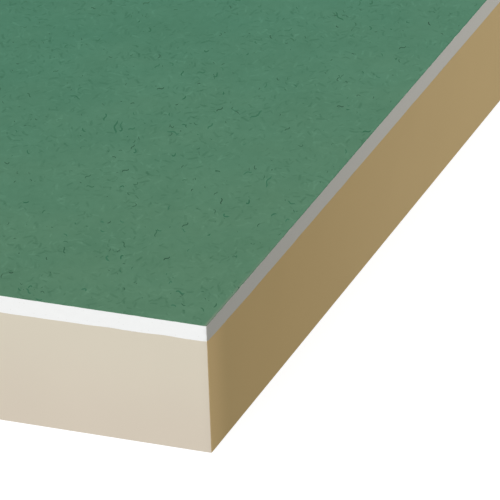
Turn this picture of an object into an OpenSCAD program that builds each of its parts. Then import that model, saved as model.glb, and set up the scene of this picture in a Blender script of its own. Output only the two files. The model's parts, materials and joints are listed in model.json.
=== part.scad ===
// Insulated building board: a slab of rigid polyiso foam bonded under a
// gypsum board with a moisture-resistant green face paper. One full sheet,
// lying flat with the foam underneath and the papered face up.
//
// Units are millimetres. The origin is the middle of the underside, +X runs
// across the sheet, +Y along it and +Z up through its thickness.

/* [Sheet] */

// Width of the sheet, across its long edges
sheet_w = 1200; // [300:10:1500]
// Length of the sheet, between its cut ends
sheet_l = 2400; // [600:10:3600]

/* [Layers] */

// Thickness of the foam slab
foam_t = 80; // [20:1:200]
// Thickness of the gypsum board, face paper included
board_t = 12.5; // [9:0.5:25]
// Thickness of the face paper on its own
paper_t = 0.4; // [0.2:0.01:0.8]

/* [Hidden] */

core_t = board_t - paper_t;
core_z = foam_t;
paper_z = core_z + core_t;

foam_colour = [0.83, 0.78, 0.69];
gypsum_colour = [0.93, 0.93, 0.92];
paper_colour = [0.33, 0.49, 0.40];

// One square-edged layer of the sheet, with its underside at height z.
module layer(z, thickness) {
    translate([-sheet_w / 2, -sheet_l / 2, z])
        cube([sheet_w, sheet_l, thickness]);
}

// Rigid foam, sawn square on all four sides.
module foam_slab() {
    color(foam_colour) layer(0, foam_t);
}

// White core of the gypsum board, flush with the foam on every side.
module gypsum_core() {
    color(gypsum_colour) layer(core_z, core_t);
}

// Green face paper, bonded over the whole top of the core.
module face_paper() {
    color(paper_colour) layer(paper_z, paper_t);
}

foam_slab();
gypsum_core();
face_paper();
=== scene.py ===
"""Looks of an insulated building board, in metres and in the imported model's frame.

The board lies flat: a slab of rigid polyiso foam underneath, a gypsum core bonded
on top of it, and a green face paper over the core, with short dark fibres in it.
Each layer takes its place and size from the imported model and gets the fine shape
that the plain solids leave out: eased arrises, the faint waviness of a cut edge,
pits and crumbs in the gypsum, and fibres that lie on the paper.
"""

import json
import logging
import math
from dataclasses import dataclass
from enum import Enum, IntEnum
from typing import Any, ClassVar

import bmesh
import bpy
from mathutils import Matrix, Vector, noise

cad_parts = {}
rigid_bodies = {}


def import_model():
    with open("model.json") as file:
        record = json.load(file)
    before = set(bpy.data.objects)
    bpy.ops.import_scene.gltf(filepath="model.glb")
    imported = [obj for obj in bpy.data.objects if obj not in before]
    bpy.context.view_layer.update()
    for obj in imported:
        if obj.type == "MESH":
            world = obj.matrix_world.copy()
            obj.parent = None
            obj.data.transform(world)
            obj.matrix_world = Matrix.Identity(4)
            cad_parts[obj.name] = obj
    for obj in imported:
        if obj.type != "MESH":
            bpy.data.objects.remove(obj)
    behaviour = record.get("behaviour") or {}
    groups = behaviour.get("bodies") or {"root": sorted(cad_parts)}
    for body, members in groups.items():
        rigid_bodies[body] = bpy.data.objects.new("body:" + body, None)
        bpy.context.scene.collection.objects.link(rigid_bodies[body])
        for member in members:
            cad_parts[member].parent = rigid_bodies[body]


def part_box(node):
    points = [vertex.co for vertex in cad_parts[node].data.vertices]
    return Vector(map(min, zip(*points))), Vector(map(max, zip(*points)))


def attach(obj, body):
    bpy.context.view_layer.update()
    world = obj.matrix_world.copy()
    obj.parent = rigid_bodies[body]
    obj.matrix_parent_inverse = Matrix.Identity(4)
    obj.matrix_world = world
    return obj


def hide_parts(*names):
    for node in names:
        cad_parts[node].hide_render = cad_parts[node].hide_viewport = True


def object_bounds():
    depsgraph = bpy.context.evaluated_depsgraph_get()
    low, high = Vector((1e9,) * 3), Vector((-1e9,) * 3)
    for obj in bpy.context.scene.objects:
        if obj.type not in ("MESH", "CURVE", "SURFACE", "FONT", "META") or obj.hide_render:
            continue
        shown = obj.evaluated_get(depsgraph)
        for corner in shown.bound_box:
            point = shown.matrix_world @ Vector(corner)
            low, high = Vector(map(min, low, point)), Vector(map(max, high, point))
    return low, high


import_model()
CAD_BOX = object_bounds()

LOG = logging.getLogger("board")
MM = 0.001
BODY = "root"

Colour = tuple[float, float, float]
WHITE: Colour = (1.0, 1.0, 1.0)
UP = Vector((0.0, 0.0, 1.0))
UNIT_GRID = 0.5  # create_grid's size, half a side, for a grid 1 m across


class Slot(Enum):
    """The record's material slots."""

    FOAM = "polyiso_foam"
    GYPSUM = "gypsum"
    PAPER = "green_paper"


class Layer(Enum):
    """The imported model's nodes, from the floor up."""

    FOAM_SLAB = "foam_slab"
    GYPSUM_CORE = "gypsum_core"
    FACE_PAPER = "face_paper"


@dataclass(frozen=True)
class Block:
    """The room that a layer takes, centred on the origin in plan."""

    low: Vector
    high: Vector

    @classmethod
    def of(cls, layer: Layer) -> "Block":
        """A layer's room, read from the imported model."""
        low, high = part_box(layer.value)
        return cls(low, high)

    def lowered(self, drop: float) -> "Block":
        """The same room with its top lowered by drop."""
        return Block(self.low, self.high - UP * drop)

    @property
    def size(self) -> Vector:
        """How wide, long and thick the layer is."""
        return self.high - self.low

    @property
    def height(self) -> float:
        """How thick the layer is."""
        return self.high.z - self.low.z

    def shares(self, at: Vector) -> tuple[float, float]:
        """How far along and how far across the room a place lies, each from 0 to 1."""
        inside = at - self.low
        return inside.y / self.size.y, inside.x / self.size.x


@dataclass(frozen=True)
class Grain:
    """The grain of a paper: how far it runs off the sheet's length, and how much longer it draws things."""

    turn: float = math.radians(22)
    draw: float = 2.0

    def stretch(self, mesh: bmesh.types.BMesh, times: float) -> None:
        """Makes a mesh so many times longer along the grain."""
        space = Matrix.Rotation(-self.turn, 4, "Z")
        bmesh.ops.scale(mesh, vec=(1.0, times, 1.0), space=space, verts=mesh.verts[:])


# ----- Nodes -----


class Signal:
    """What one node hands to the next, combined with Python's own operators.

    Arithmetic is for values, and adds Math nodes. Colours and vectors go
    through the node tree's own methods instead.
    """

    def __init__(self, tree: "NodeTree", socket: bpy.types.NodeSocket | None) -> None:
        """Wraps one output of a node in the tree, or nothing where the tree ends."""
        self.tree = tree
        self.socket = socket

    def _math(self, operation: str, first: "Value", second: "Value" = 0.0) -> "Signal":
        """What a new Math node makes of one or two values."""
        return self.tree.node("ShaderNodeMath", {"operation": operation}, {0: first, 1: second})

    def __add__(self, other: "Value") -> "Signal":
        """self + other."""
        return self._math("ADD", self, other)

    def __radd__(self, other: "Value") -> "Signal":
        """other + self."""
        return self._math("ADD", other, self)

    def __sub__(self, other: "Value") -> "Signal":
        """self - other."""
        return self._math("SUBTRACT", self, other)

    def __rsub__(self, other: "Value") -> "Signal":
        """other - self."""
        return self._math("SUBTRACT", other, self)

    def __mul__(self, other: "Value") -> "Signal":
        """self * other."""
        return self._math("MULTIPLY", self, other)

    def __rmul__(self, other: "Value") -> "Signal":
        """other * self."""
        return self._math("MULTIPLY", other, self)

    def __abs__(self) -> "Signal":
        """The value without its sign."""
        return self._math("ABSOLUTE", self)

    def or_more(self, other: "Value") -> "Signal":
        """The larger of the value and other."""
        return self._math("MAXIMUM", self, other)

    def over(self, other: "Value") -> "Signal":
        """1 where the value is larger than other, and 0 elsewhere."""
        return self._math("GREATER_THAN", self, other)

    def rise(self, start: float, end: float) -> "Signal":
        """Goes smoothly from 0 where the value is start to 1 where it is end.

        Args:
            start: The value that gives 0.
            end: The value that gives 1, which may be the lower of the two.

        Returns:
            The share, held between 0 and 1.
        """
        share = self.tree.node(
            "ShaderNodeMapRange",
            {"interpolation_type": "SMOOTHSTEP"},
            {"Value": self, "From Min": min(start, end), "From Max": max(start, end)},
        )
        return share if start < end else 1.0 - share


Value = Signal | float


class NodeTree:
    """The nodes of one material, world or scatter."""

    MIX_INPUTS: ClassVar[tuple[int, int]] = (6, 7)
    MIX_RESULT: ClassVar[int] = 2

    def __init__(self, tree: bpy.types.NodeTree) -> None:
        """Wraps a tree and empties it."""
        self.tree = tree
        self.tree.nodes.clear()

    def node(
        self,
        kind: str,
        settings: dict[str, Any] | None = None,
        inputs: dict[str | int, Any] | None = None,
        output: str | int = 0,
    ) -> Signal:
        """Adds a node of any kind.

        Args:
            kind: The node's type.
            settings: Its properties, which are set before its inputs.
            inputs: What each input gets, by name or place: a signal or a value.
            output: The output that is handed on, by name or place.

        Returns:
            That output, or an empty signal from the node that a tree ends in.
        """
        made = self.tree.nodes.new(kind)
        for name, value in (settings or {}).items():
            setattr(made, name, value)
        for key, value in (inputs or {}).items():
            socket = made.inputs[key]
            if isinstance(value, Signal):
                self.tree.links.new(value.socket, socket)
            elif socket.type == "RGBA":
                socket.default_value = (*value, 1.0)
            else:
                socket.default_value = value
        return Signal(self, made.outputs[output] if made.outputs else None)

    def blend(self, share: Value, under: Any, over: Any, mode: str = "MIX") -> Signal:
        """Mixes two colours.

        Args:
            share: How much of the second colour shows.
            under: The first colour.
            over: The second colour.
            mode: How they are blended.

        Returns:
            The mixed colour.
        """
        first, second = self.MIX_INPUTS
        settings = {"data_type": "RGBA", "blend_type": mode}
        inputs = {0: share, first: under, second: over}
        return self.node("ShaderNodeMix", settings, inputs, self.MIX_RESULT)


class Surface(NodeTree):
    """The nodes of one material."""

    MARK_REACH: ClassVar[float] = 0.42
    MARK_LIGHTEST: ClassVar[float] = 0.75
    NOISE_MIDDLE: ClassVar[float] = 0.5

    def __init__(self, name: str) -> None:
        """Adds an empty material.

        Args:
            name: The material's name.
        """
        self.material = bpy.data.materials.new(name)
        self.material.use_nodes = True
        super().__init__(self.material.node_tree)

    def place(self) -> Signal:
        """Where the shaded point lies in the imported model's frame."""
        return self.node("ShaderNodeTexCoord", output="Object")

    def along(self, axis: str) -> Signal:
        """How far from the origin the shaded point lies along the X, Y or Z axis."""
        return self.node("ShaderNodeSeparateXYZ", inputs={0: self.place()}, output=axis)

    def drawn_place(self, grain: Grain) -> Signal:
        """Where the shaded point lies once the grain is turned along Y and its draw is taken back.

        Args:
            grain: The grain.

        Returns:
            The place.
        """
        turn, draw = (0.0, 0.0, grain.turn), (1.0, grain.draw, 1.0)
        inputs = {"Vector": self.place(), "Rotation": turn, "Scale": draw}
        return self.node("ShaderNodeMapping", {"vector_type": "TEXTURE"}, inputs)

    def clouds(self, size: float, grain: Grain | None = None) -> Signal:
        """A soft noise from 0 to 1, in blotches size metres apart that a grain may draw out."""
        at = self.drawn_place(grain) if grain else self.place()
        return self.node("ShaderNodeTexNoise", inputs={"Vector": at, "Scale": 1.0 / size})

    def swing(self, size: float, grain: Grain | None = None) -> Signal:
        """The same soft noise, swinging to both sides of 0."""
        return self.clouds(size, grain) - self.NOISE_MIDDLE

    def cells(self, size: float) -> Signal:
        """How far the shaded point lies from the middle of its cell, as a share of the size of one."""
        return self.node("ShaderNodeTexVoronoi", inputs={"Vector": self.place(), "Scale": 1.0 / size})

    def marks(self, grain: Grain, spacing: float, width: float, bend: float) -> Signal:
        """Short curved marks, drawn out by the grain, each with a turn, bend and tone of its own.

        Args:
            grain: What draws them out.
            spacing: How far apart they are, in metres.
            width: How wide they are, in metres.
            bend: The most that they bend, in parts of a metre aside to a square metre along.

        Returns:
            -1 on the darkest marks, MARK_LIGHTEST on the lightest, and 0 beside them.
        """
        cell = {"voronoi_dimensions": "2D"}
        place = self.drawn_place(grain)
        at = {"Vector": place, "Scale": 1.0 / spacing}
        middle = self.node("ShaderNodeTexVoronoi", cell, at, "Position")
        dice = self.node("ShaderNodeTexVoronoi", cell, at, "Color")
        turn, curve, tone = (
            self.node("ShaderNodeSeparateColor", inputs={0: dice}, output=channel) for channel in range(3)
        )
        offset = self.node("ShaderNodeVectorMath", {"operation": "SUBTRACT"}, {0: place, 1: middle})
        spin = {"Vector": offset, "Angle": turn * math.pi}
        turned = self.node("ShaderNodeVectorRotate", {"rotation_type": "Z_AXIS"}, spin)
        along, aside = (self.node("ShaderNodeSeparateXYZ", inputs={0: turned}, output=axis) for axis in "XY")
        from_line = abs(aside + (curve * 2.0 - 1.0) * bend * along * along)
        length = spacing * self.MARK_REACH
        mark = from_line.rise(width / 2, width / 4) * abs(along).rise(length, length / 2)
        return mark * (tone * (1.0 + self.MARK_LIGHTEST) - 1.0)

    def shaded(self, colour: Signal, change: Signal, tint: Colour = WHITE) -> Signal:
        """A colour made lighter by a share of itself, which the tint scales for red, green and blue."""
        factors = {channel: 1.0 + change * strength for channel, strength in enumerate(tint)}
        return self.blend(1.0, colour, self.node("ShaderNodeCombineColor", inputs=factors), "MULTIPLY")

    def matt(self, colour: Signal, roughness: Value, height: Signal, depth: float, shine: float) -> None:
        """Ends the material in a matt shader with a fine relief.

        Args:
            colour: The surface colour.
            roughness: How rough it is.
            height: The relief, from 0 to 1.
            depth: How tall a full step of the relief is, in metres.
            shine: The level of its mirror reflection.
        """
        normal = self.node("ShaderNodeBump", inputs={"Height": height, "Distance": depth})
        look = {"Base Color": colour, "Roughness": roughness, "Normal": normal, "Specular IOR Level": shine}
        shader = self.node("ShaderNodeBsdfPrincipled", inputs=look)
        self.node("ShaderNodeOutputMaterial", inputs={"Surface": shader})


# ----- Finishes -----


@dataclass(frozen=True)
class EdgeFinder:
    """Tells the sheet's cut ends from its long sides and flats, in a material."""

    surface: Surface
    block: Block
    arris_blur: float = 0.4 * MM
    end_depth: float = 2 * MM

    def from_side(self) -> Signal:
        """How far the shaded point lies from the nearer long side."""
        return self.block.high.x - abs(self.surface.along("X"))

    def from_end(self) -> Signal:
        """How far the shaded point lies from the nearer end."""
        return self.block.high.y - abs(self.surface.along("Y"))

    def on_end(self) -> Signal:
        """Tells the cut ends apart, turning over a narrow strip at the arris.

        Returns:
            1 on the cut ends and 0 elsewhere.
        """
        from_end = self.from_end()
        nearer = (self.from_side() - from_end).rise(-self.arris_blur, self.arris_blur)
        return nearer * from_end.rise(self.end_depth, self.end_depth / 2)


@dataclass(frozen=True)
class FoamFinish:
    """Closed-cell foam with painted light and shade: cream on the cut ends as if lit, tan along the long
    sides as if in shade, lighter there away from the ends, by the upright corners and at the foot.
    """

    # Painted light and shade: the cream of the cut ends and the tan of the long sides are one foam, lit and
    # in shade. The cream goes a little darker towards the bottom.
    lit_end_cream: Colour = (0.651, 0.596, 0.486)
    lit_end_cream_low: Colour = (0.631, 0.558, 0.457)
    tan: Colour = (0.664, 0.483, 0.223)
    # Painted light: the long sides' tan grows lighter away from the ends.
    tan_far: Colour = (0.688, 0.507, 0.247)
    # Painted light: a lighter, more orange band along the long sides next to the upright corners.
    corner_glow: Colour = (0.825, 0.600, 0.285)
    corner_glow_width: float = 36 * MM
    # Painted light: the long sides grow a little lighter towards the foot.
    foot_light_share: float = 0.015
    fade_start: float = 80 * MM
    fade_end: float = 420 * MM
    cell: float = 0.45 * MM
    cell_depth: float = 0.03 * MM
    blotch: float = 55 * MM
    blotch_share: float = 0.04
    roughness: float = 0.9
    shine: float = 0.1

    def material(self, block: Block) -> bpy.types.Material:
        """Makes the material.

        Args:
            block: The slab's room.

        Returns:
            The material.
        """
        surface = Surface("polyiso_foam")
        edges = EdgeFinder(surface, block)
        from_end = edges.from_end()
        up = surface.along("Z").rise(block.low.z, block.high.z)
        cream = surface.blend(up, self.lit_end_cream_low, self.lit_end_cream)
        # Painted light: the long sides' tan grows lighter away from the ends.
        tan = surface.blend(from_end.rise(self.fade_start, self.fade_end), self.tan, self.tan_far)
        # Painted light: a lighter, more orange band along the long sides next to the upright corners.
        tan = surface.blend(from_end.rise(self.corner_glow_width, 0.0), tan, self.corner_glow)
        # Painted light: the long sides grow a little lighter towards the foot.
        tan = surface.shaded(tan, (1.0 - up) * self.foot_light_share)
        # Painted light and shade: cream on the cut ends as if lit, the tan on the long sides as if in shade.
        colour = surface.blend(edges.on_end(), tan, cream)
        colour = surface.shaded(colour, surface.swing(self.blotch) * self.blotch_share)
        surface.matt(colour, self.roughness, surface.cells(self.cell), self.cell_depth, self.shine)
        return surface.material


@dataclass(frozen=True)
class GypsumFinish:
    """Bare gypsum with painted shade: white on the cut ends, greyer along the long sides as if in shade,
    lighter there away from the ends, with small dark spots of painted shade in its pits.
    """

    white: Colour = (0.858, 0.866, 0.860)
    # Painted shade: the grey of the long sides is the white gypsum in shade.
    grey: Colour = (0.654, 0.642, 0.588)
    # Painted light: the long sides' grey grows lighter away from the ends.
    grey_far: Colour = (0.694, 0.678, 0.622)
    fade_start: float = 80 * MM
    fade_end: float = 420 * MM
    grain: float = 1.2 * MM
    grain_depth: float = 0.05 * MM
    pit: float = 3.5 * MM
    pit_share: float = 0.16
    # Painted shade: small darker spots for the shade in the core's pits.
    pit_shade: Colour = (0.88, 0.87, 0.85)
    roughness: float = 0.95
    shine: float = 0.1

    def material(self, block: Block) -> bpy.types.Material:
        """Makes the material.

        Args:
            block: The core's room.

        Returns:
            The material.
        """
        surface = Surface("gypsum")
        edges = EdgeFinder(surface, block)
        # Painted light: the long sides' grey grows lighter away from the ends.
        grey = surface.blend(edges.from_end().rise(self.fade_start, self.fade_end), self.grey, self.grey_far)
        # Painted shade: white on the cut ends, shaded grey on the long sides.
        colour = surface.blend(edges.on_end(), grey, self.white)
        pits = surface.cells(self.pit).rise(self.pit_share, 0.0)
        # Painted shade: small darker spots for the shade in the core's pits.
        colour = surface.blend(pits, colour, self.pit_shade, "MULTIPLY")
        surface.matt(colour, self.roughness, surface.clouds(self.grain), self.grain_depth, self.shine)
        return surface.material


@dataclass(frozen=True)
class PaperFinish:
    """Matt liner paper, full of faint fibres: bluer in the field, redder towards the corners and scuffed
    near them.
    """

    field: Colour = (0.062, 0.190, 0.118)
    # The green is redder towards the corners.
    corner_green: Colour = (0.084, 0.198, 0.118)
    fade_length: float = 800 * MM
    scuffed: Colour = (0.180, 0.234, 0.170)
    scuff_width: tuple[float, float] = (2.8 * MM, 0.6 * MM)
    scuff_reaches: tuple[tuple[float, float], ...] = ((170 * MM, 0.55), (25 * MM, 0.45))
    scuff_patch: float = 4 * MM
    scuff_least: float = 0.45
    cloud: float = 45 * MM
    cloud_share: float = 0.40
    faint_fibres: tuple[tuple[float, float, float], ...] = (
        (5.6 * MM, 1.5 * MM, 90.0),
        (8.0 * MM, 2.0 * MM, 70.0),
        (11.0 * MM, 2.4 * MM, 50.0),
    )
    fibre_share: float = 0.16
    clump: float = 26 * MM
    clump_band: tuple[float, float] = (0.22, 0.62)
    mottle: tuple[tuple[float, float], ...] = (
        (2 * MM, 0.03),
        (6 * MM, 0.15),
        (14 * MM, 0.07),
        (35 * MM, 0.16),
    )
    grain: Grain = Grain(draw=1.4)
    tint: Colour = (1.45, 1.0, 1.2)
    felt: float = 0.8 * MM
    felt_depth: float = 0.02 * MM
    roughness: float = 0.85
    shine: float = 0.15

    def material(self, block: Block) -> bpy.types.Material:
        """Makes the material.

        Args:
            block: The paper's room.

        Returns:
            The material.
        """
        surface = Surface("green_paper")
        edges = EdgeFinder(surface, block)
        from_side, from_end = edges.from_side(), edges.from_end()
        inside = (from_side + from_end).rise(0.0, self.fade_length)
        inside = inside + surface.swing(self.cloud) * self.cloud_share
        colour = surface.blend(inside, self.corner_green, self.field)
        marks = sum((surface.marks(self.grain, *kind) for kind in self.faint_fibres), 0.0)
        change = marks * (surface.clouds(self.clump).rise(*self.clump_band) * self.fibre_share)
        for size, share in self.mottle:
            change = change + surface.swing(size, self.grain) * share
        colour = surface.shaded(colour, change, self.tint)
        near_corner = sum((from_end.rise(reach, 0.0) * share for reach, share in self.scuff_reaches), 0.0)
        patches = surface.clouds(self.scuff_patch) + self.scuff_least
        scuff = from_side.rise(*self.scuff_width) * near_corner * patches
        colour = surface.blend(scuff, colour, self.scuffed)
        surface.matt(colour, self.roughness, surface.clouds(self.felt), self.felt_depth, self.shine)
        return surface.material


@dataclass(frozen=True)
class FibreFinish:
    """Dyed fibres, each in a tone of its own between two greens."""

    name: str
    deep: Colour
    light: Colour
    tone: str = "tone"
    hair: float = 0.2 * MM
    hair_depth: float = 0.02 * MM
    roughness: float = 0.8
    shine: float = 0.2

    def material(self, block: Block) -> bpy.types.Material:
        """Makes the material.

        Args:
            block: The paper's room, which is not used.

        Returns:
            The material.
        """
        surface = Surface(self.name)
        tone = surface.node("ShaderNodeAttribute", {"attribute_name": self.tone}, output="Fac")
        colour = surface.blend(tone, self.deep, self.light)
        surface.matt(colour, self.roughness, surface.clouds(self.hair), self.hair_depth, self.shine)
        return surface.material


Finish = FoamFinish | GypsumFinish | PaperFinish | FibreFinish


# ----- Layers -----


@dataclass(frozen=True)
class Relief:
    """How unevenly a cut face runs, as depths below its flat."""

    wave: float
    wave_length: float
    grain: float
    grain_length: float
    crumb: float
    crumb_length: float
    crumb_bar: float
    corner: float
    corner_reach: float
    seed: float
    WAVE_TURN: ClassVar[float] = 1.7
    GRAIN_TURN: ClassVar[float] = 2.3
    CRUMB_TURN: ClassVar[float] = 3.1
    CORNER_TURN: ClassVar[float] = 4.9

    def noise(self, at: Vector, length: float, turn: float) -> float:
        """A smooth noise from 0 to 1, with humps a length apart. The turn tells it from the others."""
        shift = Vector((self.seed, turn, self.seed + turn))
        return (1.0 + noise.noise(at / length + shift)) / 2

    def depth(self, at: Vector, from_corner: float) -> float:
        """How far the face lies below its flat.

        Args:
            at: A place on the flat face.
            from_corner: How far that place is from the nearest upright corner.

        Returns:
            The depth.
        """
        crumbs = max(0.0, self.noise(at, self.crumb_length, self.CRUMB_TURN) - self.crumb_bar)
        worn = max(0.0, 1.0 - from_corner / self.corner_reach)
        return (
            self.wave * self.noise(at, self.wave_length, self.WAVE_TURN)
            + self.grain * self.noise(at, self.grain_length, self.GRAIN_TURN)
            + self.crumb * crumbs / (1.0 - self.crumb_bar)
            + self.corner * worn**2 * self.noise(at, self.crumb_length, self.CORNER_TURN)
        )


@dataclass(frozen=True)
class Seam:
    """How the joint between foam and gypsum wanders about its level, round the cut sides."""

    drop: float = 0.2 * MM
    corner_lift: float = 1.4 * MM
    lift_along_end: float = 150 * MM
    lift_along_side: float = 30 * MM
    sag: float = 0.9 * MM
    ripple: float = 0.45 * MM
    ripple_length: float = 20 * MM

    def rise(self, block: Block, at: Vector) -> float:
        """How far the joint lies above its level.

        Args:
            block: The layer's room.
            at: A place on one of the cut sides.

        Returns:
            The rise, which is negative where the joint sags.
        """
        from_side = block.high.x - abs(at.x)
        from_end = block.high.y - abs(at.y)
        lift = max(0.0, 1.0 - from_side / self.lift_along_end) * math.exp(-from_end / self.lift_along_side)
        sag = self.sag * math.sin(math.pi * from_end / block.high.y)
        ripple = self.ripple * noise.noise(Vector((at.x, at.y, 0.0)) / self.ripple_length)
        return self.corner_lift * lift - sag + ripple - self.drop


@dataclass(frozen=True)
class Wall:
    """One side of a layer: where it starts, which way it runs and how far round the sheet it starts."""

    start: Vector
    along: Vector
    length: float
    offset: float

    @property
    def outward(self) -> Vector:
        """The side's outward normal."""
        return self.along.cross(UP)

    def behind(self, at: Vector) -> float:
        """How far a place lies behind the side's flat."""
        return (self.start - at).dot(self.outward)

    def reach(self, at: Vector) -> float:
        """How far along the side a place lies."""
        return (at - self.start).dot(self.along)


@dataclass(frozen=True)
class BakeMap:
    """How a layer's faces share its own UV map: its sides in rows, then its top, then its underside."""

    rows: int
    sides: float
    top: float
    underside: float
    margin: float = 0.06
    NAME: ClassVar[str] = "OFBake"

    def side(self, wall: Wall, round_all: float, middle: Vector, corner: Vector, height: float) -> Vector:
        """Where a corner of a side face goes on the map.

        Args:
            wall: The side that the face is on.
            round_all: How long all four sides are.
            middle: The face's middle.
            corner: The face's corner, with its z measured from the foot of the layer.
            height: How tall the side is.

        Returns:
            Its place on the map.
        """
        row_length = round_all / self.rows
        row = min(int((wall.offset + wall.reach(middle)) / row_length), self.rows - 1)
        across = (wall.offset + wall.reach(corner)) / row_length - row
        up = self.margin + (1.0 - 2.0 * self.margin) * corner.z / height
        return Vector((min(max(across, 0.0), 1.0), self.sides * (row + up) / self.rows))

    def flat(self, across: float, up: float, is_top: bool) -> Vector:
        """Where a corner of the top or the underside goes on the map.

        Args:
            across: How far along the sheet it is, from 0 to 1.
            up: How far across the sheet it is, from 0 to 1.
            is_top: Whether it is on the top.

        Returns:
            Its place on the map.
        """
        if is_top:
            return Vector((across, self.sides + self.top * up))
        return Vector((across, self.sides + self.top + self.underside * up))


@dataclass
class CutLayer:
    """A layer of the sheet, cut square on all four sides."""

    layer: Layer
    slot: Slot
    block: Block
    finish: Finish
    relief: Relief
    bake_map: BakeMap
    pitch: float
    rows: int
    arris: float = 0.0
    arris_steps: int = 3
    seam_height: float | None = None
    SEAM: ClassVar[Seam] = Seam()
    WELD: ClassVar[float] = 0.001 * MM
    SHARP: ClassVar[float] = math.radians(30)
    FLAT_TILT: ClassVar[float] = math.radians(45)
    ARRIS_SLACK: ClassVar[float] = 1.01

    def walls(self) -> list[Wall]:
        """Sets out the four sides.

        Returns:
            The sides, in order round the sheet.
        """
        low, high = self.block.low, self.block.high
        corners = [(low.x, low.y), (high.x, low.y), (high.x, high.y), (low.x, high.y)]
        sides = []
        offset = 0.0
        for here, there in zip(corners, corners[1:] + corners[:1]):
            start, run = Vector((*here, low.z)), Vector((*there, low.z)) - Vector((*here, low.z))
            sides.append(Wall(start, run.normalized(), run.length, offset))
            offset += run.length
        return sides

    def raise_wall(self, mesh: bmesh.types.BMesh, wall: Wall) -> None:
        """Adds one side as a grid.

        Args:
            mesh: The mesh to add it to.
            wall: The side.
        """
        run, up = wall.along * wall.length, UP * self.block.height
        middle = wall.start + (run + up) / 2
        frame_of_side = Matrix((run, up, wall.outward)).transposed()
        bmesh.ops.create_grid(
            mesh,
            x_segments=round(wall.length / self.pitch),
            y_segments=self.rows,
            size=UNIT_GRID,
            matrix=Matrix.Translation(middle) @ frame_of_side.to_4x4(),
        )

    def ease(self, mesh: bmesh.types.BMesh) -> None:
        """Rounds the upright arrises.

        Args:
            mesh: The layer's mesh.
        """
        walls = self.walls()

        def shared(edge: bmesh.types.BMEdge) -> int:
            """On how many sides an edge lies."""
            return sum(all(wall.behind(vert.co) < self.WELD for vert in edge.verts) for wall in walls)

        bmesh.ops.bevel(
            mesh,
            geom=[edge for edge in mesh.edges if shared(edge) == 2],
            offset=self.arris,
            offset_type="OFFSET",
            segments=self.arris_steps,
            profile=0.5,
            affect="EDGES",
            clamp_overlap=True,
            material=-1,
        )

    def follow_seam(self, mesh: bmesh.types.BMesh) -> None:
        """Moves the edge that meets the other layer up and down with the joint.

        Args:
            mesh: The layer's mesh.
        """
        low, high = self.block.low.z, self.block.high.z
        fixed = high if self.seam_height == low else low
        for vert in mesh.verts:
            share = (vert.co.z - fixed) / (self.seam_height - fixed)
            vert.co.z += share * self.SEAM.rise(self.block, vert.co)

    def roughen(self, mesh: bmesh.types.BMesh) -> None:
        """Sinks each side by its relief.

        Args:
            mesh: The layer's mesh.
        """
        walls = self.walls()
        reach = self.arris * self.ARRIS_SLACK + self.WELD
        for vert in mesh.verts:
            at = vert.co.copy()
            on = [wall for wall in walls if wall.behind(at) < reach]
            for wall in on:
                along = wall.reach(at)
                from_corner = min(along, wall.length - along)
                vert.co -= wall.outward * self.relief.depth(at, from_corner)

    def lay_map(self, mesh: bmesh.types.BMesh) -> None:
        """Gives the layer its own UV map.

        Args:
            mesh: The layer's mesh.
        """
        walls = self.walls()
        round_all = sum(wall.length for wall in walls)
        places = mesh.loops.layers.uv.new(BakeMap.NAME)
        for face in mesh.faces:
            is_flat = abs(face.normal.z) > math.cos(self.FLAT_TILT)
            middle = face.calc_center_median()
            wall = max(walls, key=lambda side: side.outward.dot(face.normal))
            for loop in face.loops:
                at = loop.vert.co
                if is_flat:
                    place = self.bake_map.flat(*self.block.shares(at), face.normal.z > 0)
                else:
                    corner = Vector((at.x, at.y, at.z - self.block.low.z))
                    place = self.bake_map.side(wall, round_all, middle, corner, self.block.height)
                loop[places].uv = place

    def build(self) -> bpy.types.Object:
        """Models the layer.

        Returns:
            The piece, with no material yet.
        """
        mesh = bmesh.new()
        for wall in self.walls():
            self.raise_wall(mesh, wall)
        bmesh.ops.remove_doubles(mesh, verts=mesh.verts[:], dist=self.WELD)
        bmesh.ops.holes_fill(mesh, edges=mesh.edges[:], sides=0)
        bmesh.ops.recalc_face_normals(mesh, faces=mesh.faces[:])
        if self.arris:
            self.ease(mesh)
        self.roughen(mesh)
        if self.seam_height is not None:
            self.follow_seam(mesh)
        mesh.normal_update()
        self.lay_map(mesh)
        return as_piece(mesh, self.layer.value + "_cut", smooth_below=self.SHARP)

    def dress(self, piece: bpy.types.Object) -> None:
        """Puts the finish on the layer and gives it its place in the model.

        Args:
            piece: The layer.
        """
        piece.data.materials.append(self.finish.material(self.block))
        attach(piece, BODY)
        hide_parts(self.layer.value)


def as_piece(mesh: bmesh.types.BMesh, name: str, smooth_below: float = 0.0) -> bpy.types.Object:
    """Turns a finished bmesh into an object of the scene.

    Args:
        mesh: The bmesh, which is freed.
        name: The object's name.
        smooth_below: Faces that meet at less than this angle shade smoothly.

    Returns:
        The object.
    """
    data = bpy.data.meshes.new(name)
    mesh.to_mesh(data)
    mesh.free()
    if smooth_below:
        data.shade_smooth()
        data.set_sharp_from_angle(angle=smooth_below)
    piece = bpy.data.objects.new(name, data)
    bpy.context.scene.collection.objects.link(piece)
    return piece


# ----- Fibres -----


class Curl(Enum):
    """How a fibre lies: its length, and the degrees it turns over each equal stretch."""

    SPECK = (1.3 * MM, (40.0,))
    DASH = (2.6 * MM, (60.0,))
    ARC = (4.0 * MM, (105.0,))
    HOOK = (4.8 * MM, (20.0, 155.0))
    WAVE = (6.0 * MM, (100.0, -120.0))
    THREAD = (9.0 * MM, (45.0, -80.0, 50.0))


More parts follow.
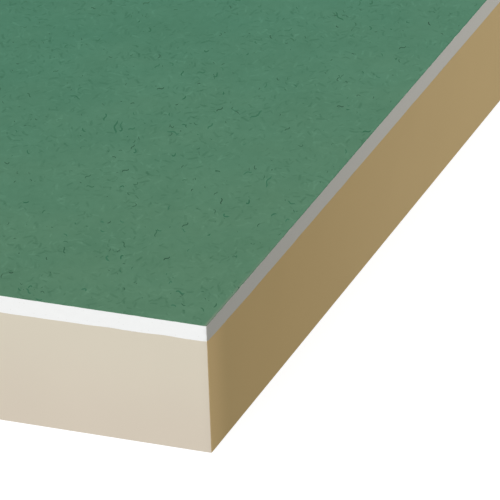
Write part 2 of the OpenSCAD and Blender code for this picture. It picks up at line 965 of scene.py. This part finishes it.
@dataclass(frozen=True)
class Strand:
    """One fibre that lies flat and tapers to a point at both ends."""

    curl: Curl
    width: float
    rise: float
    hand: int
    STEP_DEGREES: ClassVar[float] = 30.0
    LEAST_STEPS: ClassVar[int] = 2
    SIDES: ClassVar[int] = 3

    def build(self, name: str) -> bpy.types.Object:
        """Models the fibre, along +X from the origin.

        Args:
            name: The object's name.

        Returns:
            The fibre.
        """
        length, turns = self.curl.value
        mesh = bmesh.new()
        ring = bmesh.ops.create_circle(mesh, segments=self.SIDES, radius=1.0, cap_ends=True)["verts"]
        lowest = min(vert.co.y for vert in ring)
        tallest = max(vert.co.y for vert in ring) - lowest
        widest = max(abs(vert.co.x) for vert in ring)
        stand = Matrix(((0, 0, 1), (-self.width / (2 * widest), 0, 0), (0, self.rise / tallest, 0)))
        lift = UP * (-lowest * self.rise / tallest)
        first, last = list(ring), mesh.faces[:] + mesh.edges[:] + mesh.verts[:]
        here, heading = Vector(), -self.hand * math.radians(sum(turns)) / 2
        start = Matrix.Rotation(heading, 3, "Z")
        for vert in ring:
            vert.co = start @ (stand @ vert.co + lift)
        stretch = length / len(turns)
        for degrees in turns:
            turn = self.hand * math.radians(degrees)
            left = Vector((-math.sin(heading), math.cos(heading), 0.0))
            centre = here + left * stretch / turn
            steps = max(self.LEAST_STEPS, round(abs(degrees) / self.STEP_DEGREES))
            last = bmesh.ops.spin(
                mesh, geom=last, cent=centre, axis=UP, angle=turn, steps=steps, use_merge=False
            )["geom_last"]
            here = centre + Matrix.Rotation(turn, 3, "Z") @ (here - centre)
            heading += turn
        ends = [first, [part for part in last if isinstance(part, bmesh.types.BMVert)]]
        for verts in ends:
            middle = sum((vert.co for vert in verts), Vector()) / len(verts)
            bmesh.ops.pointmerge(mesh, verts=verts, merge_co=middle)
        bmesh.ops.recalc_face_normals(mesh, faces=mesh.faces[:])
        return as_piece(mesh, name)


@dataclass(frozen=True)
class Spread:
    """How fibres are strewn: how thickly, how large and how they clump, before the grain draws them out."""

    density: float
    sizes: tuple[float, float]
    seed: int
    clump: float = 18 * MM
    clump_band: tuple[float, float] = (0.42, 0.60)
    barest: float = 0.25


class Draw(IntEnum):
    """What a scatter's random numbers settle, each told apart by what it adds to the seed."""

    PLACE = 0
    SPIN = 1
    SIZE = 2
    TONE = 3
    KEPT = 4


class Scatter(NodeTree):
    """A node group that strews copies of a collection's objects over a mesh."""

    LOW_INPUT: ClassVar[int] = 2
    HIGH_INPUT: ClassVar[int] = 3
    FLOAT_RESULT: ClassVar[int] = 1

    def __init__(self, name: str) -> None:
        """Adds an empty group with a mesh going in and a mesh coming out.

        Args:
            name: The group's name.
        """
        self.group = bpy.data.node_groups.new(name, "GeometryNodeTree")
        for way in ("INPUT", "OUTPUT"):
            self.group.interface.new_socket("Geometry", in_out=way, socket_type="NodeSocketGeometry")
        super().__init__(self.group)

    def random(self, low: float, high: float, seed: int) -> Signal:
        """A random number between low and high for each copy."""
        inputs = {self.LOW_INPUT: low, self.HIGH_INPUT: high, "Seed": seed}
        return self.node("FunctionNodeRandomValue", {"data_type": "FLOAT"}, inputs, self.FLOAT_RESULT)

    def thin(self, points: Signal, spread: Spread) -> Signal:
        """Takes points away between the clumps.

        Args:
            points: The points.
            spread: How they gather.

        Returns:
            The points that are left.
        """
        here = self.node("GeometryNodeInputPosition")
        thick = self.node("ShaderNodeTexNoise", inputs={"Vector": here, "Scale": 1.0 / spread.clump})
        kept = thick.rise(*spread.clump_band) * (1.0 - spread.barest) + spread.barest
        gone = self.random(0.0, 1.0, spread.seed + Draw.KEPT).over(kept)
        return self.node("GeometryNodeDeleteGeometry", inputs={"Geometry": points, "Selection": gone})

    def strew(self, shapes: bpy.types.Collection, spread: Spread, tone: str) -> None:
        """Strews the shapes, each turned at random about Z.

        Args:
            shapes: The collection that holds them.
            spread: How they are strewn.
            tone: The attribute that gets a random share for each copy.
        """
        seed = spread.seed
        strewn = {"Mesh": self.node("NodeGroupInput"), "Density": spread.density, "Seed": seed + Draw.PLACE}
        points = self.thin(self.node("GeometryNodeDistributePointsOnFaces", inputs=strewn), spread)
        spin = self.node("ShaderNodeCombineXYZ", inputs={"Z": self.random(0.0, math.tau, seed + Draw.SPIN)})
        size = self.random(*spread.sizes, seed + Draw.SIZE)
        scale = self.node("ShaderNodeCombineXYZ", inputs={"X": size, "Y": size, "Z": 1.0})
        source = {"Collection": shapes, "Separate Children": True, "Reset Children": True}
        picked = self.node("GeometryNodeCollectionInfo", inputs=source)
        put = {"Points": points, "Instance": picked, "Pick Instance": True, "Rotation": spin, "Scale": scale}
        copies = self.node("GeometryNodeInstanceOnPoints", inputs=put)
        toned = self.node(
            "GeometryNodeStoreNamedAttribute",
            {"data_type": "FLOAT", "domain": "INSTANCE"},
            {"Geometry": copies, "Name": tone, "Value": self.random(0.0, 1.0, seed + Draw.TONE)},
        )
        joined = self.node("GeometryNodeRealizeInstances", inputs={0: toned})
        self.node("NodeGroupOutput", inputs={0: joined})


@dataclass
class Fibres:
    """Fibres of one dye, strewn over the whole face paper."""

    name: str
    block: Block
    finish: FibreFinish
    curls: tuple[Curl, ...]
    widths: tuple[float, ...]
    rise: float
    spread: Spread
    grain: Grain = Grain()
    lift: float = 0.005 * MM

    def strands(self) -> bpy.types.Collection:
        """Models one fibre for each curl in the list, which take the widths in turn.

        Returns:
            The fibres, in a collection of their own.
        """
        shapes = bpy.data.collections.new(self.name + "_shapes")
        for number, curl in enumerate(self.curls):
            width = self.widths[number % len(self.widths)]
            hand = 1 if number % 2 else -1
            strand = Strand(curl, width, self.rise - self.lift, hand).build(f"{self.name}_{number}")
            bpy.context.scene.collection.objects.unlink(strand)
            shapes.objects.link(strand)
        return shapes

    def ground(self) -> bpy.types.Object:
        """Models what the fibres are strewn over.

        Returns:
            A flat as large as the sheet, with the grain's draw taken back.
        """
        size = self.block.size
        level = self.block.high.z - self.rise + self.lift
        mesh = bmesh.new()
        bmesh.ops.create_grid(mesh, x_segments=1, y_segments=1, size=UNIT_GRID)
        bmesh.ops.scale(mesh, vec=(size.x, size.y, 1.0), verts=mesh.verts[:])
        bmesh.ops.translate(mesh, vec=(0.0, 0.0, level), verts=mesh.verts[:])
        self.grain.stretch(mesh, 1.0 / self.grain.draw)
        return as_piece(mesh, self.name + "_ground")

    def trim(self, mesh: bmesh.types.BMesh) -> None:
        """Cuts the fibres off flush with the sheet's four sides.

        Args:
            mesh: The fibres.
        """
        for axis, half in ((Vector((1, 0, 0)), self.block.high.x), (Vector((0, 1, 0)), self.block.high.y)):
            for way in (axis, -axis):
                parts = mesh.verts[:] + mesh.edges[:] + mesh.faces[:]
                cut = bmesh.ops.bisect_plane(
                    mesh, geom=parts, plane_co=way * half, plane_no=way, clear_outer=True
                )["geom_cut"]
                edges = [part for part in cut if isinstance(part, bmesh.types.BMEdge)]
                bmesh.ops.holes_fill(mesh, edges=edges, sides=0)

    def lay_map(self, mesh: bmesh.types.BMesh) -> None:
        """Maps each fibre straight down on the sheet.

        Args:
            mesh: The fibres.
        """
        places = mesh.loops.layers.uv.new(BakeMap.NAME)
        for face in mesh.faces:
            for loop in face.loops:
                loop[places].uv = self.block.shares(loop.vert.co)

    def build(self) -> bpy.types.Object:
        """Models all the fibres as one piece.

        Returns:
            The piece, with no material yet.
        """
        shapes, ground = self.strands(), self.ground()
        scatter = Scatter(self.name + "_scatter")
        scatter.strew(shapes, self.spread, self.finish.tone)
        ground.modifiers.new("scatter", "NODES").node_group = scatter.group
        graph = bpy.context.evaluated_depsgraph_get()
        strewn = ground.evaluated_get(graph).to_mesh()
        mesh = bmesh.new()
        mesh.from_mesh(strewn)
        self.grain.stretch(mesh, self.grain.draw)
        self.trim(mesh)
        self.lay_map(mesh)
        for strand in list(shapes.objects) + [ground]:
            bpy.data.objects.remove(strand)
        bpy.data.collections.remove(shapes)
        return as_piece(mesh, self.name)

    def dress(self, piece: bpy.types.Object) -> None:
        """Puts the finish on the fibres and gives them their place in the model.

        Args:
            piece: The fibres.
        """
        piece.data.materials.append(self.finish.material(self.block))
        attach(piece, BODY)


# ----- Studio -----


@dataclass(frozen=True)
class View:
    """The camera: where it looks, from which side and how far away."""

    aim: Vector
    azimuth: float
    elevation: float
    roll: float
    distance: float
    lens: float

    def build(self) -> None:
        """Makes this the scene's camera."""
        turn, lift = math.radians(self.azimuth), math.radians(self.elevation)
        back = Vector((math.sin(turn) * math.cos(lift), -math.cos(turn) * math.cos(lift), math.sin(lift)))
        data = bpy.data.cameras.new("camera")
        data.lens = self.lens
        camera = bpy.data.objects.new("camera", data)
        aimed = back.to_track_quat("Z", "Y").to_matrix().to_4x4()
        rolled = Matrix.Rotation(math.radians(self.roll), 4, "Z")
        camera.matrix_world = Matrix.Translation(self.aim + back * self.distance) @ aimed @ rolled
        bpy.context.scene.collection.objects.link(camera)
        bpy.context.scene.camera = camera


class LampKind(Enum):
    """The kinds of lamp in the studio."""

    SUN = "SUN"
    AREA = "AREA"


@dataclass(frozen=True)
class Lamp:
    """One lamp: where it stands, where it points, how bright and how soft it is."""

    name: str
    kind: LampKind
    place: tuple[float, float, float]
    aim: tuple[float, float, float]
    energy: float
    size: tuple[float, float]

    def build(self) -> None:
        """Adds the lamp to the scene. A sun's size starts with the angle it fills, in degrees."""
        data = bpy.data.lights.new(self.name, self.kind.value)
        data.energy = self.energy
        if self.kind is LampKind.SUN:
            data.angle = math.radians(self.size[0])
        else:
            data.shape = "RECTANGLE"
            data.size, data.size_y = self.size
        lamp = bpy.data.objects.new(self.name, data)
        away = Vector(self.place) - Vector(self.aim)
        pointed = away.to_track_quat("Z", "Y").to_matrix().to_4x4()
        lamp.matrix_world = Matrix.Translation(self.place) @ pointed
        lamp.visible_camera = False
        bpy.context.scene.collection.objects.link(lamp)


@dataclass(frozen=True)
class Floor:
    """A pale floor that shows white, with only the board's soft shadow on it."""

    drop: float = 0.2 * MM
    span: float = 60.0
    bounce: float = 0.25
    glow: float = 0.85
    shown: float = 0.28

    def material(self) -> bpy.types.Material:
        """Makes the floor's material.

        Returns:
            The material.
        """
        surface = Surface("pale_floor")
        light = surface.node("ShaderNodeEmission", inputs={"Color": WHITE, "Strength": self.bounce})
        seen = surface.node("ShaderNodeBsdfDiffuse", inputs={"Color": (self.shown,) * 3})
        glow = surface.node("ShaderNodeEmission", inputs={"Color": WHITE, "Strength": self.glow})
        white = surface.node("ShaderNodeAddShader", inputs={0: seen, 1: glow})
        shader = surface.node("ShaderNodeMixShader", inputs={0: white_rays(surface), 1: light, 2: white})
        surface.node("ShaderNodeOutputMaterial", inputs={"Surface": shader})
        return surface.material

    def build(self) -> None:
        """Lays the floor just below the board."""
        mesh = bmesh.new()
        bmesh.ops.create_grid(mesh, x_segments=1, y_segments=1, size=self.span)
        bmesh.ops.translate(mesh, vec=(0.0, 0.0, -self.drop), verts=mesh.verts[:])
        floor = as_piece(mesh, "floor")
        floor.data.materials.append(self.material())


def white_rays(tree: NodeTree) -> Signal:
    """Tells the rays that show the background: seen by the camera, in a gloss or through glass.

    Args:
        tree: The nodes of the floor or the world.

    Returns:
        1 for those rays and 0 for the others.
    """
    kinds = ("Camera", "Glossy", "Transmission")
    camera, gloss, glass = (tree.node("ShaderNodeLightPath", output=f"Is {kind} Ray") for kind in kinds)
    return camera.or_more(gloss).or_more(glass)


@dataclass(frozen=True)
class Surroundings:
    """The light from all round, and the white that the camera sees."""

    light: float = 0.27

    def build(self) -> None:
        """Makes this the scene's world."""
        world = bpy.data.worlds.new("studio")
        world.use_nodes = True
        bpy.context.scene.world = world
        tree = NodeTree(world.node_tree)
        dim = tree.node("ShaderNodeBackground", inputs={"Color": WHITE, "Strength": self.light})
        white = tree.node("ShaderNodeBackground", inputs={"Color": WHITE, "Strength": 1.0})
        shader = tree.node("ShaderNodeMixShader", inputs={0: white_rays(tree), 1: dim, 2: white})
        tree.node("ShaderNodeOutputWorld", inputs={"Surface": shader})


# ----- The board and its studio -----

FIBRE_RISE = 0.06 * MM


def board_layers() -> list[CutLayer]:
    """Sizes up the layers.

    Returns:
        The three layers, from the floor up.
    """
    foam = CutLayer(
        layer=Layer.FOAM_SLAB,
        slot=Slot.FOAM,
        block=Block.of(Layer.FOAM_SLAB),
        finish=FoamFinish(),
        relief=Relief(
            wave=0.08 * MM, wave_length=90 * MM, grain=0.03 * MM, grain_length=9 * MM,
            crumb=0.15 * MM, crumb_length=6 * MM, crumb_bar=0.8,
            corner=0.3 * MM, corner_reach=4 * MM, seed=11.0,
        ),
        bake_map=BakeMap(rows=9, sides=0.90, top=0.02, underside=0.08),
        pitch=5 * MM,
        rows=16,
        arris=0.4 * MM,
        seam_height=Block.of(Layer.FOAM_SLAB).high.z,
    )
    gypsum = CutLayer(
        layer=Layer.GYPSUM_CORE,
        slot=Slot.GYPSUM,
        block=Block.of(Layer.GYPSUM_CORE),
        finish=GypsumFinish(),
        relief=Relief(
            wave=0.08 * MM, wave_length=40 * MM, grain=0.10 * MM, grain_length=3 * MM,
            crumb=0.5 * MM, crumb_length=4 * MM, crumb_bar=0.78,
            corner=0.9 * MM, corner_reach=3 * MM, seed=23.0,
        ),
        bake_map=BakeMap(rows=23, sides=0.92, top=0.04, underside=0.04),
        pitch=1.5 * MM,
        rows=8,
        seam_height=Block.of(Layer.GYPSUM_CORE).low.z,
    )
    paper = CutLayer(
        layer=Layer.FACE_PAPER,
        slot=Slot.PAPER,
        block=Block.of(Layer.FACE_PAPER).lowered(FIBRE_RISE),
        finish=PaperFinish(),
        relief=Relief(
            wave=0.10 * MM, wave_length=22 * MM, grain=0.30 * MM, grain_length=5 * MM,
            crumb=0.6 * MM, crumb_length=7 * MM, crumb_bar=0.7,
            corner=0.3 * MM, corner_reach=3 * MM, seed=37.0,
        ),
        bake_map=BakeMap(rows=4, sides=0.06, top=0.86, underside=0.08),
        pitch=3 * MM,
        rows=1,
    )
    return [foam, gypsum, paper]


def paper_fibres() -> list[Fibres]:
    """Sizes up the fibres in the face paper.

    Returns:
        The fibres, one piece for each dye.
    """
    block = Block.of(Layer.FACE_PAPER)
    dark = Fibres(
        name="face_fibres_dark",
        block=block,
        finish=FibreFinish("dark_fibre", deep=(0.006, 0.040, 0.018), light=(0.034, 0.128, 0.066)),
        curls=(
            Curl.SPECK, Curl.DASH, Curl.ARC, Curl.HOOK, Curl.SPECK, Curl.DASH,
            Curl.WAVE, Curl.SPECK, Curl.ARC, Curl.DASH, Curl.DASH, Curl.ARC,
        ),
        widths=(0.76 * MM, 0.54 * MM, 0.64 * MM, 0.48 * MM),
        rise=FIBRE_RISE,
        spread=Spread(density=8300.0, sizes=(0.5, 1.15), seed=5),
    )
    faint = Fibres(
        name="face_fibres_faint",
        block=block,
        finish=FibreFinish("faint_fibre", deep=(0.016, 0.105, 0.050), light=(0.045, 0.160, 0.090)),
        curls=(Curl.DASH, Curl.ARC, Curl.HOOK, Curl.SPECK, Curl.THREAD, Curl.ARC, Curl.WAVE),
        widths=(0.85 * MM, 0.68 * MM),
        rise=FIBRE_RISE,
        spread=Spread(density=2900.0, sizes=(0.7, 1.4), seed=61),
    )
    return [dark, faint]


def build_studio() -> None:
    """Sets up the camera, the floor and the light."""
    near_corner = Vector((CAD_BOX[1].x, CAD_BOX[0].y, CAD_BOX[1].z))
    View(
        aim=near_corner + Vector((-13.9 * MM, 112.1 * MM, 0.0)),
        azimuth=22.234,
        elevation=26.017,
        roll=-2.032,
        distance=3.379,
        lens=368.07,
    ).build()
    Floor().build()
    Surroundings().build()
    for lamp in (
        Lamp("key", LampKind.SUN, (-0.85, -3.68, 3.28), (0.0, 0.0, 0.0), energy=3.3, size=(50.0, 0.0)),
        Lamp("side_fill", LampKind.AREA, (1.6, -0.4, 0.3), (0.6, -0.4, 0.05), energy=3.27, size=(0.4, 0.4)),
        Lamp("back_fill", LampKind.AREA, (0.0, 3.6, 0.5), (0.0, 1.2, 0.05), energy=30.0, size=(2.0, 0.6)),
    ):
        lamp.build()
    bpy.context.scene.view_settings.view_transform = "Standard"


def main() -> None:
    """Builds the board's layers and fibres, then the studio."""
    logging.basicConfig(level=logging.INFO, format="%(message)s")
    for part in board_layers() + paper_fibres():
        piece = part.build()
        part.dress(piece)
        LOG.info("%s: %d faces", piece.name, len(piece.data.polygons))
    build_studio()


if __name__ == "__main__":
    main()
